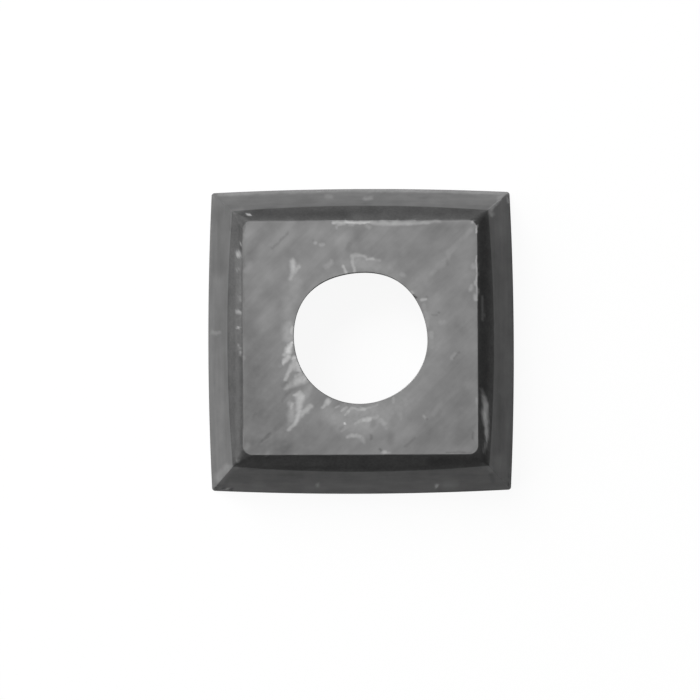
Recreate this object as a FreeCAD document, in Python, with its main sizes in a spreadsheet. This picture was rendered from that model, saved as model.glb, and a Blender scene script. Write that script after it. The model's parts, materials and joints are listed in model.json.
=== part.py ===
import FreeCAD, Part
import math
import os
import Sketcher

# Square reversible knife insert of cemented carbide, one solid, in millimetres.
# The rake face lies on the plane Z = 0 with its four crowned cutting edges, the
# screw axis is Z, and the seat that bears on the holder is the small face on top.
# It is made as the real one is: a pressed blank with leaning shoulders, four
# flanks ground by swinging the blank about a far centre, and a countersunk bore.

doc = FreeCAD.newDocument("KnifeInsert")

# Driving dimensions: lengths in millimetres, angles in degrees from the screw axis
DIMENSIONS = [
    ("edge_span", 15.0, "across two opposite cutting edges, at their crowns"),
    ("edge_crown_radius", 150.0, "radius that each cutting edge is ground to"),
    ("insert_thickness", 2.5, "rake face to seat"),
    ("relief_angle", 29.0, "lean of the ground flanks"),
    ("shoulder_angle", 48.0, "lean of the shoulders left as pressed and sintered"),
    ("seat_width", 11.4, "flat seat, side to side"),
    ("seat_corner_radius", 0.42, "rounding of the seat's corners"),
    ("seat_edge_break", 0.04, "width of the narrow broken edge round the seat"),
    ("shoulder_height", 1.3, "from the shoulder's foot on the blank up to the seat"),
    ("foot_corner_radius", 0.15, "rounding of the blank's corners at that foot"),
    ("grinding_stock", 0.4, "stock on the blank outside the crown of each edge"),
    ("tip_radius", 0.15, "blunting of the four ground corners"),
    ("bore_diameter", 6.5, "clearance hole for the clamping screw"),
    ("countersink_diameter", 9.0, "screw head's recess at the rake face"),
    ("countersink_angle", 90.0, "full angle of that recess"),
    ("bore_edge_break", 0.05, "broken edge of the bore at the seat"),
]
SIDES = 4
NAME_COLUMN, VALUE_COLUMN, NOTE_COLUMN = "A", "B", "C"

sheet = doc.addObject("Spreadsheet::Sheet", "Dimensions")
for row, (alias, value, note) in enumerate(DIMENSIONS, start=1):
    sheet.set(f"{NAME_COLUMN}{row}", alias)
    sheet.set(f"{VALUE_COLUMN}{row}", str(value))
    sheet.set(f"{NOTE_COLUMN}{row}", note)
    sheet.setAlias(f"{VALUE_COLUMN}{row}", alias)
doc.recompute()

# Expressions shared by several features, in terms of the sheet's cells
BREAK_FALL = "Dimensions.seat_edge_break * tan(45 deg - Dimensions.shoulder_angle * 0.5 deg)"
BREAK_WIDTH = "Dimensions.seat_width + 2 * Dimensions.seat_edge_break"
SHOULDER_RUN = f"(Dimensions.shoulder_height - {BREAK_FALL}) * tan(Dimensions.shoulder_angle * 1 deg)"
FOOT_WIDTH = f"{BREAK_WIDTH} + 2 * {SHOULDER_RUN}"
FOOT_LEVEL = "Dimensions.insert_thickness - Dimensions.shoulder_height"
BLANK_WIDTH = "Dimensions.edge_span + 2 * Dimensions.grinding_stock"


def origin_plane(body, role):
    """The body's own origin plane or axis with that role, such as XY_Plane."""
    return next(f for f in body.Origin.OriginFeatures if f.Role == role)


def new_sketch(body, name, role):
    """An empty sketch on one of the body's origin planes."""
    sketch = body.newObject("Sketcher::SketchObject", name)
    sketch.AttachmentSupport = [(origin_plane(body, role), "")]
    sketch.MapMode = "FlatFace"
    return sketch


def bind(sketch, name, expression):
    """Ties a named constraint of the sketch to an expression on the sheet."""
    sketch.setExpression(f"Constraints.{name}", expression)


def draw_square(sketch, width):
    """A square about the sketch's origin, its width tied to an expression."""
    half = sheet.edge_span / 2
    corners = [
        FreeCAD.Vector(x * half, y * half, 0)
        for x, y in ((-1, -1), (1, -1), (1, 1), (-1, 1))
    ]
    for i, corner in enumerate(corners):
        sketch.addGeometry(Part.LineSegment(corner, corners[(i + 1) % SIDES]), False)
    for i in range(SIDES):
        sketch.addConstraint(
            Sketcher.Constraint("Coincident", i, 2, (i + 1) % SIDES, 1)
        )
    for i in range(SIDES):
        sketch.addConstraint(
            Sketcher.Constraint("Horizontal" if i % 2 == 0 else "Vertical", i)
        )
    sketch.addConstraint(Sketcher.Constraint("Symmetric", 0, 1, 2, 1, -1, 1))
    sketch.addConstraint(Sketcher.Constraint("Equal", 0, 1))
    side = sketch.addConstraint(Sketcher.Constraint("DistanceX", 0, 1, 0, 2, 2 * half))
    sketch.renameConstraint(side, "side")
    bind(sketch, "side", width)


def draw_rounded_square(sketch, width, radius):
    """A square with rounded corners about the sketch's origin.

    Even geometry is a side, odd geometry is the corner arc that follows it.
    """
    start_width = sheet.seat_width
    start_radius = sheet.seat_corner_radius
    inner = start_width / 2 - start_radius
    for i in range(SIDES):
        turn = FreeCAD.Rotation(FreeCAD.Vector(0, 0, 1), 90 * i)
        start = turn.multVec(FreeCAD.Vector(-inner, -start_width / 2, 0))
        end = turn.multVec(FreeCAD.Vector(inner, -start_width / 2, 0))
        centre = turn.multVec(FreeCAD.Vector(inner, -inner, 0))
        circle = Part.Circle(centre, FreeCAD.Vector(0, 0, 1), start_radius)
        first = math.radians(90 * i - 90)
        sketch.addGeometry(Part.LineSegment(start, end), False)
        sketch.addGeometry(
            Part.ArcOfCircle(circle, first, first + math.pi / 2), False
        )
    pieces = 2 * SIDES
    for i in range(SIDES):
        side, arc, following = 2 * i, 2 * i + 1, (2 * i + 2) % pieces
        sketch.addConstraint(Sketcher.Constraint("Tangent", side, 2, arc, 1))
        sketch.addConstraint(Sketcher.Constraint("Tangent", arc, 2, following, 1))
    for arc in range(3, pieces, 2):
        sketch.addConstraint(Sketcher.Constraint("Equal", 1, arc))
    for side in range(0, pieces, 4):
        sketch.addConstraint(Sketcher.Constraint("Horizontal", side))
        sketch.addConstraint(Sketcher.Constraint("Vertical", side + 2))
    sketch.addConstraint(Sketcher.Constraint("Symmetric", 1, 3, 5, 3, -1, 1))
    sketch.addConstraint(Sketcher.Constraint("Equal", 0, 2))
    corner = sketch.addConstraint(Sketcher.Constraint("Radius", 1, start_radius))
    sketch.renameConstraint(corner, "corner")
    across = sketch.addConstraint(
        Sketcher.Constraint("DistanceX", 6, 1, 2, 1, start_width)
    )
    sketch.renameConstraint(across, "across")
    bind(sketch, "corner", radius)
    bind(sketch, "across", width)


def section_sketch(body, name, level, width, radius):
    """A rounded square at a level over the rake face, one section of the shoulders."""
    sketch = new_sketch(body, name, "XY_Plane")
    sketch.setExpression("AttachmentOffset.Base.z", level)
    draw_rounded_square(sketch, width, radius)
    return sketch


def press_blank(body):
    """The pressed blank: a square slab with stock to grind, and leaning shoulders.

    The shoulders run from square feet to the seat, whose corners are rounder, and
    the edge round the seat is broken at half the turn from shoulder to seat.
    """
    slab_outline = new_sketch(body, "slab_outline", "XY_Plane")
    draw_square(slab_outline, BLANK_WIDTH)
    slab = body.newObject("PartDesign::Pad", "slab")
    slab.Profile = slab_outline
    slab.setExpression("Length", FOOT_LEVEL)

    foot = section_sketch(
        body, "shoulder_foot", FOOT_LEVEL, FOOT_WIDTH, "Dimensions.foot_corner_radius"
    )
    shoulder_top = section_sketch(
        body,
        "shoulder_top",
        f"Dimensions.insert_thickness - {BREAK_FALL}",
        BREAK_WIDTH,
        "Dimensions.seat_corner_radius + Dimensions.seat_edge_break",
    )
    seat = section_sketch(
        body,
        "seat_outline",
        "Dimensions.insert_thickness",
        "Dimensions.seat_width",
        "Dimensions.seat_corner_radius",
    )
    doc.recompute()
    shoulders = body.newObject("PartDesign::AdditiveLoft", "shoulders")
    shoulders.Profile = foot
    shoulders.Sections = [shoulder_top, seat]
    shoulders.Ruled = True
    doc.recompute()
    return shoulders


def grind_flanks(body):
    """One flank ground by a swing about a far centre, then repeated on each side.

    The grinding line passes through the cutting edge and leans by the relief angle.
    """
    start_edge = sheet.edge_span / 2
    start_reach = sheet.edge_span
    over = sheet.insert_thickness
    profile = new_sketch(body, "grinding_line", "XZ_Plane")
    lean = math.tan(math.radians(sheet.relief_angle))
    low = FreeCAD.Vector(start_edge + over * lean, -over, 0)
    high = FreeCAD.Vector(start_edge - 2 * over * lean, 2 * over, 0)
    out_high = FreeCAD.Vector(start_reach, 2 * over, 0)
    out_low = FreeCAD.Vector(start_reach, -over, 0)
    outline = [low, high, out_high, out_low]
    for i, point in enumerate(outline):
        profile.addGeometry(
            Part.LineSegment(point, outline[(i + 1) % len(outline)]), False
        )
    for i in range(len(outline)):
        profile.addConstraint(
            Sketcher.Constraint("Coincident", i, 2, (i + 1) % len(outline), 1)
        )
    profile.addConstraint(Sketcher.Constraint("Horizontal", 1))
    profile.addConstraint(Sketcher.Constraint("Vertical", 2))
    profile.addConstraint(Sketcher.Constraint("Horizontal", 3))

    swing_centre = start_edge - sheet.edge_crown_radius
    axis = profile.addGeometry(
        Part.LineSegment(
            FreeCAD.Vector(swing_centre, 0, 0), FreeCAD.Vector(swing_centre, over, 0)
        ),
        True,
    )
    edge_point = profile.addGeometry(
        Part.Point(FreeCAD.Vector(start_edge, 0, 0)), True
    )
    x_axis = -1
    profile.addConstraint(Sketcher.Constraint("Vertical", axis))
    profile.addConstraint(Sketcher.Constraint("PointOnObject", axis, 1, x_axis))
    profile.addConstraint(Sketcher.Constraint("PointOnObject", edge_point, 1, x_axis))
    profile.addConstraint(Sketcher.Constraint("PointOnObject", edge_point, 1, 0))

    sizes = [
        ("edge", "Dimensions.edge_span / 2", ("DistanceX", -1, 1, edge_point, 1, start_edge)),
        (
            "swing",
            "Dimensions.edge_crown_radius",
            ("DistanceX", axis, 1, edge_point, 1, sheet.edge_crown_radius),
        ),
        ("axis_length", "Dimensions.insert_thickness", ("DistanceY", axis, 1, axis, 2, over)),
        (
            "lean",
            "90 deg + Dimensions.relief_angle * 1 deg",
            ("Angle", 0, math.radians(90 + sheet.relief_angle)),
        ),
        ("reach", "Dimensions.edge_span", ("DistanceX", -1, 1, 2, 1, start_reach)),
        ("above", "2 * Dimensions.insert_thickness", ("DistanceY", -1, 1, 1, 1, 2 * over)),
        ("below", "Dimensions.insert_thickness", ("DistanceY", 0, 1, -1, 1, over)),
    ]
    for name, expression, arguments in sizes:
        index = profile.addConstraint(Sketcher.Constraint(*arguments))
        profile.renameConstraint(index, name)
        bind(profile, name, expression)
    doc.recompute()

    flank = body.newObject("PartDesign::Groove", "flank")
    flank.Profile = profile
    flank.ReferenceAxis = (profile, ["Axis0"])
    flank.Midplane = True
    flank.setExpression(
        "Angle", "2 * asin(Dimensions.edge_span / Dimensions.edge_crown_radius)"
    )
    doc.recompute()
    flanks = body.newObject("PartDesign::PolarPattern", "flanks")
    flanks.Originals = [flank]
    flanks.Axis = (origin_plane(body, "Z_Axis"), [""])
    flanks.Angle = 360
    flanks.Occurrences = SIDES
    body.Tip = flanks
    doc.recompute()
    return flanks


def drill_bore(body):
    """The screw's clearance bore, countersunk at the rake face for its head."""
    centre = new_sketch(body, "bore_centre", "XY_Plane")
    centre.addGeometry(
        Part.Circle(
            FreeCAD.Vector(0, 0, 0), FreeCAD.Vector(0, 0, 1), sheet.bore_diameter / 2
        ),
        False,
    )
    centre.addConstraint(Sketcher.Constraint("Coincident", 0, 3, -1, 1))
    across = centre.addConstraint(
        Sketcher.Constraint("Diameter", 0, sheet.bore_diameter)
    )
    centre.renameConstraint(across, "across")
    bind(centre, "across", "Dimensions.bore_diameter")
    doc.recompute()
    bore = body.newObject("PartDesign::Hole", "bore")
    bore.Profile = centre
    doc.recompute()
    bore.Reversed = True
    bore.ThreadType = "None"
    bore.DrillPoint = "Flat"
    bore.DepthType = "ThroughAll"
    bore.HoleCutType = "Countersink"
    bore.HoleCutCustomValues = True
    bore.setExpression("Diameter", "Dimensions.bore_diameter")
    bore.setExpression("HoleCutDiameter", "Dimensions.countersink_diameter")
    bore.setExpression("HoleCutCountersinkAngle", "Dimensions.countersink_angle * 1 deg")
    body.Tip = bore
    doc.recompute()
    return bore


def edge_names(feature, wanted):
    """Names of the feature's edges whose two ends and middle pass the test."""
    names = []
    for i, edge in enumerate(feature.Shape.Edges, start=1):
        middle = edge.valueAt((edge.FirstParameter + edge.LastParameter) / 2)
        if wanted(edge, middle):
            names.append(f"Edge{i}")
    return names


def blunt_tips(body, base):
    """Rounds the four ground corners, from the rake face up to the shoulders."""
    touch = 1e-4

    def is_mitre(edge, middle):
        ends = sorted(vertex.Z for vertex in edge.Vertexes)
        on_diagonal = abs(abs(middle.x) - abs(middle.y)) < touch
        return on_diagonal and abs(ends[0]) < touch and ends[-1] > touch

    tips = body.newObject("PartDesign::Fillet", "tips")
    tips.Base = (base, edge_names(base, is_mitre))
    tips.setExpression("Radius", "Dimensions.tip_radius")
    body.Tip = tips
    doc.recompute()
    return tips


def break_bore_edge(body, base):
    """Breaks the bore's edge where it comes out at the seat."""
    touch = 1e-4
    top = sheet.insert_thickness
    bore_radius = sheet.bore_diameter / 2

    def is_bore_edge(edge, middle):
        on_bore = abs(math.hypot(middle.x, middle.y) - bore_radius) < touch
        return on_bore and abs(middle.z - top) < touch

    broken = body.newObject("PartDesign::Chamfer", "bore_edge")
    broken.Base = (base, edge_names(base, is_bore_edge))
    broken.setExpression("Size", "Dimensions.bore_edge_break")
    body.Tip = broken
    doc.recompute()
    return broken


def make_knife_insert():
    """The whole insert as one PartDesign body."""
    body = doc.addObject("PartDesign::Body", "knife_insert")
    body.Label = "knife_insert"
    press_blank(body)
    flanks = grind_flanks(body)
    blunt_tips(body, flanks)
    bore = drill_bore(body)
    break_bore_edge(body, bore)
    return body


def check_document(subparts):
    """Stops the build if an object failed, a sketch is loose or a shape is unsound."""
    for item in doc.Objects:
        if {"Invalid", "Error"} & set(item.State):
            raise RuntimeError(f"{item.Name} failed: {item.State}")
        if item.TypeId == "Sketcher::SketchObject" and not item.FullyConstrained:
            raise RuntimeError(f"{item.Name} isn't fully constrained")
    for item in subparts:
        if item.Shape.isNull() or not item.Shape.isValid():
            raise RuntimeError(f"{item.Label} has no valid shape")


subparts = [make_knife_insert()]
doc.recompute()
check_document(subparts)

os.makedirs("parts", exist_ok=True)
for item in subparts:
    item.Shape.exportStep(f"parts/{item.Label}.step")
    box = item.Shape.optimalBoundingBox(False)
    print(
        f"{item.Label}: {len(item.Shape.Solids)} solid, {item.Shape.Volume:.3f} mm3,"
        f" {box.XLength:.3f} x {box.YLength:.3f} x {box.ZLength:.3f} mm"
    )
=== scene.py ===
import json
import math

import bpy
from mathutils import Matrix, Vector


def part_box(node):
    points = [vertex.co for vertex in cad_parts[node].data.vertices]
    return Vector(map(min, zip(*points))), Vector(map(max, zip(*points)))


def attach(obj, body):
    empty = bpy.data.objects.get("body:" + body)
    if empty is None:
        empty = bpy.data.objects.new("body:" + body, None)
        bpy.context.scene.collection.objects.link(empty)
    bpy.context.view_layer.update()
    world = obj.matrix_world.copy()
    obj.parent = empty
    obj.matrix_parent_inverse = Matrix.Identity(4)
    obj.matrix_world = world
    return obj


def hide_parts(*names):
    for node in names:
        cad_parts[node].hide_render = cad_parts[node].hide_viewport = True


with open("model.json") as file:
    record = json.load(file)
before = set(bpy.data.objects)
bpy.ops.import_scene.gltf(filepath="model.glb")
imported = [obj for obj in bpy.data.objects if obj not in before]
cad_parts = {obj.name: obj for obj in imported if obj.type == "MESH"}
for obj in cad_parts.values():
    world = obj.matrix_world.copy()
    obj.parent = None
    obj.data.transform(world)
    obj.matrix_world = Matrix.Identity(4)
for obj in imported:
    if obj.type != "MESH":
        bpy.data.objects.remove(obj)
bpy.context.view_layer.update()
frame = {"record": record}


# The knife insert is one square of cemented carbide, pressed and sintered to shape.
# Its seat, four flanks and rake face are then ground. The shoulders between the seat
# and the flanks, and the screw hole, stay as they left the furnace.
MM = 0.001
SIDES = 4
low_corner, high_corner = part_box("knife_insert")
edge_span = (high_corner.x - low_corner.x) / MM
insert_thickness = (high_corner.z - low_corner.z) / MM
screw_bore = next(m for m in frame["record"]["mounts"] if m["name"] == "screw_bore")
bore_radius = screw_bore["dims"]["r_mm"]
bore_wall_length = screw_bore["dims"]["length_mm"]

# Lengths in millimetres. The two slopes are how far a face leans out for each millimetre
# that it falls. The mitres, where two flanks meet, are nearly sharp, and only the tips at
# their ends are blunted.
edge_crown_radius = 150.0
relief = math.tan(math.radians(29.0))
shoulder = math.tan(math.radians(48.0))
seat_width = 11.4
seat_corner_radius = 0.42
seat_edge_break = 0.04
break_fall = seat_edge_break * math.tan((math.pi / 2 - math.atan(shoulder)) / 2)
mitre_radius = 0.015
tip_radius = 0.15
tip_height = 0.12
tip_slant = tip_height * math.hypot(1.0, relief)
bore_edge_break = 0.03
bore_draft = 0.08
countersink_depth = screw_bore["pos_m"][2] / MM - bore_wall_length / 2
countersink_radius = bore_radius + countersink_depth


def result(made):
    """A node's first output in use."""
    return next(output for output in made.outputs if output.enabled)


def fill_inputs(tree, made, inputs):
    """Fills a node's inputs, each from a value, a node, a socket or a list of them."""
    sockets = {socket.identifier: socket for socket in made.inputs}
    for name, value in inputs.items():
        socket = made.inputs[name] if isinstance(name, int) else sockets[name]
        for source in value if isinstance(value, list) else [value]:
            if isinstance(source, bpy.types.Node):
                source = result(source)
            if isinstance(source, bpy.types.NodeSocket):
                tree.links.new(source, socket)
            else:
                socket.default_value = source


def add_node(tree, kind, inputs=None, **settings):
    """Adds a node with its settings, and fills its inputs."""
    made = tree.nodes.new(kind)
    for name, value in settings.items():
        setattr(made, name, value)
    fill_inputs(tree, made, inputs or {})
    return made


def add_sockets(tree, direction, kind, names):
    """Adds sockets of one kind to a tree's interface."""
    for name in names:
        tree.interface.new_socket(name, in_out=direction, socket_type=kind)


# A section is one closed line round the insert, seen from one side. Along runs from -1 to 1
# over the straight part, and Turn is how far round a corner a point has come. Where the
# section is a circle, Fan spreads the points evenly instead.
SECTION_SIZES = ("Half Width", "Corner Radius", "Level", "Bulge", "Dip", "Roundness")
section_tree = bpy.data.node_groups.new("insert_section_line", "GeometryNodeTree")
add_sockets(section_tree, "INPUT", "NodeSocketFloat", ("Along", "Turn", "Fan", *SECTION_SIZES))
add_sockets(section_tree, "OUTPUT", "NodeSocketVector", ("Point",))
given = section_tree.nodes.new("NodeGroupInput").outputs
angle = add_node(
    section_tree,
    "ShaderNodeMix",
    {"Factor_Float": given["Roundness"], "A_Float": given["Turn"], "B_Float": given["Fan"]},
)
straight = add_node(
    section_tree,
    "ShaderNodeMath",
    {0: given["Half Width"], 1: given["Corner Radius"]},
    operation="SUBTRACT",
)
sine = add_node(section_tree, "ShaderNodeMath", {0: angle}, operation="SINE")
round_corner = add_node(
    section_tree, "ShaderNodeMath", {0: sine, 1: given["Corner Radius"]}, operation="MULTIPLY"
)
sideways = add_node(
    section_tree,
    "ShaderNodeMath",
    {0: given["Along"], 1: straight, 2: round_corner},
    operation="MULTIPLY_ADD",
)
cosine = add_node(section_tree, "ShaderNodeMath", {0: angle}, operation="COSINE")
flat_outward = add_node(
    section_tree,
    "ShaderNodeMath",
    {0: cosine, 1: given["Corner Radius"], 2: straight},
    operation="MULTIPLY_ADD",
)
squared = add_node(
    section_tree,
    "ShaderNodeMath",
    {0: given["Along"], 1: given["Along"]},
    operation="MULTIPLY",
)
towards_middle = add_node(
    section_tree, "ShaderNodeMath", {0: 1.0, 1: squared}, operation="SUBTRACT"
)
outward = add_node(
    section_tree,
    "ShaderNodeMath",
    {0: given["Bulge"], 1: towards_middle, 2: flat_outward},
    operation="MULTIPLY_ADD",
)
dipped = add_node(
    section_tree, "ShaderNodeMath", {0: given["Dip"], 1: towards_middle}, operation="MULTIPLY"
)
level = add_node(
    section_tree, "ShaderNodeMath", {0: given["Level"], 1: dipped}, operation="SUBTRACT"
)
towards_viewer = add_node(
    section_tree, "ShaderNodeMath", {0: outward, 1: -1.0}, operation="MULTIPLY"
)
point = add_node(
    section_tree, "ShaderNodeCombineXYZ", {"X": sideways, "Y": towards_viewer, "Z": level}
)
add_node(section_tree, "NodeGroupOutput", {0: point})

# A band is the strip of surface between two sections: it is laid out on one side of the
# insert, repeated on the other sides and added to the bands that are there already.
band_tree = bpy.data.node_groups.new("insert_band", "GeometryNodeTree")
add_sockets(band_tree, "INPUT", "NodeSocketGeometry", ("Geometry",))
for end in ("Start", "End"):
    add_sockets(
        band_tree, "INPUT", "NodeSocketFloat", [f"{end} {size}" for size in SECTION_SIZES]
    )
add_sockets(band_tree, "INPUT", "NodeSocketFloat", ("Straight Share", "Start Rise", "Belly"))
add_sockets(band_tree, "INPUT", "NodeSocketInt", ("Columns", "Rows", "Sides"))
add_sockets(band_tree, "INPUT", "NodeSocketMaterial", ("Finish",))
add_sockets(band_tree, "OUTPUT", "NodeSocketGeometry", ("Geometry",))
given = band_tree.nodes.new("NodeGroupInput").outputs
# The flat grid runs from -1 to 1 along the side and is 1 wide from one section to the other.
grid = add_node(
    band_tree,
    "GeometryNodeMeshGrid",
    {"Size X": 2.0, "Size Y": 1.0, "Vertices X": given["Columns"], "Vertices Y": given["Rows"]},
)
place = add_node(
    band_tree,
    "ShaderNodeSeparateXYZ",
    {"Vector": add_node(band_tree, "GeometryNodeInputPosition")},
)
half_grid = 0.5
share = add_node(
    band_tree, "ShaderNodeMath", {0: place.outputs["Y"], 1: half_grid}, operation="ADD"
)
straight_back = add_node(
    band_tree, "ShaderNodeMath", {0: given["Straight Share"], 1: -1.0}, operation="MULTIPLY"
)
along = add_node(
    band_tree,
    "ShaderNodeMapRange",
    {
        "Value": place.outputs["X"],
        "From Min": straight_back,
        "From Max": given["Straight Share"],
        "To Min": -1.0,
        "To Max": 1.0,
    },
)
eighth_turn = math.pi / SIDES
turn_on = add_node(
    band_tree,
    "ShaderNodeMapRange",
    {
        "Value": place.outputs["X"],
        "From Min": given["Straight Share"],
        "From Max": 1.0,
        "To Min": 0.0,
        "To Max": eighth_turn,
    },
)
turn_back = add_node(
    band_tree,
    "ShaderNodeMapRange",
    {
        "Value": place.outputs["X"],
        "From Min": -1.0,
        "From Max": straight_back,
        "To Min": -eighth_turn,
        "To Max": 0.0,
    },
)
turn = add_node(band_tree, "ShaderNodeMath", {0: turn_on, 1: turn_back}, operation="ADD")
fan = add_node(
    band_tree, "ShaderNodeMath", {0: place.outputs["X"], 1: eighth_turn}, operation="MULTIPLY"
)
ends = {}
for end in ("Start", "End"):
    line = band_tree.nodes.new("GeometryNodeGroup")
    line.node_tree = section_tree
    for name, source in (("Along", along), ("Turn", turn), ("Fan", fan)):
        band_tree.links.new(source.outputs[0], line.inputs[name])
    for size in SECTION_SIZES:
        band_tree.links.new(given[f"{end} {size}"], line.inputs[size])
    ends[end] = line.outputs["Point"]
between = add_node(
    band_tree,
    "ShaderNodeMix",
    {"Factor_Float": share, "A_Vector": ends["Start"], "B_Vector": ends["End"]},
    data_type="VECTOR",
)
width = add_node(
    band_tree, "ShaderNodeVectorMath", {0: ends["Start"], 1: ends["End"]}, operation="DISTANCE"
)
rise = add_node(
    band_tree,
    "ShaderNodeMath",
    {0: width.outputs["Value"], 1: share, 2: given["Start Rise"]},
    operation="MULTIPLY_ADD",
)
measured = add_node(
    band_tree,
    "GeometryNodeStoreNamedAttribute",
    {"Geometry": grid.outputs["Mesh"], "Name": "rise", "Value": rise},
    data_type="FLOAT",
    domain="CORNER",
)
# The belly is a parabola over the band's width. Its plain form is only a quarter high.
to_far_line = add_node(band_tree, "ShaderNodeMath", {0: 1.0, 1: share}, operation="SUBTRACT")
arch = add_node(band_tree, "ShaderNodeMath", {0: share, 1: to_far_line}, operation="MULTIPLY")
arch_height = add_node(
    band_tree, "ShaderNodeMath", {0: given["Belly"], 1: 4.0}, operation="MULTIPLY"
)
arched = add_node(
    band_tree, "ShaderNodeMath", {0: arch, 1: arch_height}, operation="MULTIPLY"
)
arch_kept = add_node(
    band_tree,
    "GeometryNodeStoreNamedAttribute",
    {"Geometry": measured, "Name": "swell", "Value": arched},
    data_type="FLOAT",
    domain="POINT",
)
laid = add_node(
    band_tree, "GeometryNodeSetPosition", {"Geometry": arch_kept, "Position": between}
)
centre_points = add_node(
    band_tree,
    "GeometryNodeMeshLine",
    {"Count": given["Sides"], "Offset": (0.0, 0.0, 0.0)},
    mode="OFFSET",
)
quarter_turn = add_node(
    band_tree, "ShaderNodeMath", {0: math.tau, 1: given["Sides"]}, operation="DIVIDE"
)
side_turn = add_node(
    band_tree,
    "ShaderNodeMath",
    {0: add_node(band_tree, "GeometryNodeInputIndex"), 1: quarter_turn},
    operation="MULTIPLY",
)
facing = add_node(
    band_tree,
    "FunctionNodeAxisAngleToRotation",
    {"Axis": (0.0, 0.0, 1.0), "Angle": side_turn},
)
repeated = add_node(
    band_tree,
    "GeometryNodeInstanceOnPoints",
    {"Points": centre_points, "Instance": laid, "Rotation": facing},
)
real = add_node(band_tree, "GeometryNodeRealizeInstances", {"Geometry": repeated})
finished = add_node(
    band_tree, "GeometryNodeSetMaterial", {"Geometry": real, "Material": given["Finish"]}
)
joined = add_node(
    band_tree, "GeometryNodeJoinGeometry", {"Geometry": [given["Geometry"], finished]}
)
add_node(band_tree, "NodeGroupOutput", {0: joined})


def add_modifier(piece, tree, **values):
    """Puts a Geometry Nodes tree on a piece, its inputs set by their identifiers."""
    modifier = piece.modifiers.new(tree.name, "NODES")
    modifier.node_group = tree
    for item in tree.interface.items_tree:
        key = item.name.lower().replace(" ", "_")
        if item.in_out == "INPUT" and key in values:
            modifier[item.identifier] = values[key]


def square_section(middle_half_width, level, corner_radius, bulge_rate=0.0, dip_rate=0.0):
    """A rounded square, as wide as given at the middles of its sides.

    The sides bulge with the square of their length, by the rate, and dip with their bulge.
    """
    reach = middle_half_width - corner_radius
    if bulge_rate:
        root = math.sqrt(1 + 4 * bulge_rate * reach)
        reach = (root - 1) / (2 * bulge_rate)
    bulge = bulge_rate * reach**2
    dip = dip_rate * bulge
    return {
        "half_width": reach + corner_radius,
        "corner_radius": corner_radius,
        "level": level + dip,
        "bulge": bulge,
        "dip": dip,
        "roundness": 0.0,
    }


def round_section(radius, level):
    """A circle about the screw hole's axis."""
    return {
        "half_width": radius,
        "corner_radius": radius,
        "level": level,
        "bulge": 0.0,
        "dip": 0.0,
        "roundness": 1.0,
    }


# The ground flanks lean by the relief and meet the shoulders in a line that climbs
# towards the corners, because only the flanks are crowned.
crown = 1 / (2 * edge_crown_radius)
break_half_width = seat_width / 2 + seat_edge_break
break_level = insert_thickness - break_fall
line_level = (break_half_width + break_level * shoulder - edge_span / 2) / (shoulder - relief)
line_half_width = edge_span / 2 - line_level * relief
sections = {
    "cutting_edge": square_section(edge_span / 2, 0.0, tip_radius, crown),
    "tip_end": square_section(
        edge_span / 2 - tip_height * relief, tip_height, 2 * mitre_radius, crown
    ),
    "shoulder_line": square_section(
        line_half_width,
        line_level,
        mitre_radius,
        crown * shoulder / (shoulder - relief),
        1 / shoulder,
    ),
    "seat_break": square_section(
        break_half_width, break_level, seat_corner_radius + seat_edge_break
    ),
    "seat_edge": square_section(seat_width / 2, insert_thickness, seat_corner_radius),
    "bore_mouth": round_section(bore_radius + bore_edge_break, insert_thickness),
    "bore_top": round_section(bore_radius, insert_thickness - bore_edge_break),
    "bore_foot": round_section(bore_radius + bore_draft, countersink_depth),
    "countersink_rim": round_section(countersink_radius, 0.0),
}


def linear(hex_colour):
    """A colour written as sRGB hex, in the linear values that shaders take."""
    channels = [int(hex_colour[i : i + 2], 16) / 255 for i in (1, 3, 5)]
    return (
        *(c / 12.92 if c <= 0.04045 else ((c + 0.055) / 1.055) ** 2.4 for c in channels),
        1.0,
    )


def new_finish(name, roughness):
    """A bare dark metal, with its tree and shader. Only how a face was made tells it apart."""
    finish = bpy.data.materials.new(name)
    finish.use_nodes = True
    shader = finish.node_tree.nodes["Principled BSDF"]
    fill_inputs(finish.node_tree, shader, {"Metallic": 1.0, "Roughness": roughness})
    return finish, finish.node_tree, shader


def millimetres(tree, turn=0.0):
    """The piece's own coordinates in millimetres, turned about the screw axis."""
    own = add_node(tree, "ShaderNodeTexCoord").outputs["Object"]
    return add_node(
        tree,
        "ShaderNodeMapping",
        {"Vector": own, "Rotation": (0.0, 0.0, turn), "Scale": (1 / MM, 1 / MM, 1 / MM)},
    )


def add_grain(tree, place, sizes, weight, detail=2.0):
    """Noise that swings about zero by the weight, its grains sized in millimetres.

    Plain noise seldom leaves 0.3 to 0.7, so that span is what swings from end to end.
    """
    spaced = add_node(tree, "ShaderNodeVectorMath", {0: place, 1: sizes}, operation="DIVIDE")
    noise = add_node(
        tree, "ShaderNodeTexNoise", {"Vector": spaced, "Scale": 1.0, "Detail": detail}
    )
    return add_node(
        tree,
        "ShaderNodeMapRange",
        {
            "Value": noise.outputs["Fac"],
            "From Min": 0.3,
            "From Max": 0.7,
            "To Min": -weight,
            "To Max": weight,
        },
    )


def add_shades(tree, dark, light, swings, middle=0.5):
    """A colour between dark and light, which the patterns swing about the middle."""
    share = swings[0]
    for term in (*swings[1:], middle):
        share = add_node(tree, "ShaderNodeMath", {0: share, 1: term}, operation="ADD")
    return add_node(
        tree,
        "ShaderNodeMix",
        {"Factor_Float": share, "A_Color": linear(dark), "B_Color": linear(light)},
        data_type="RGBA",
    )


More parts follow.
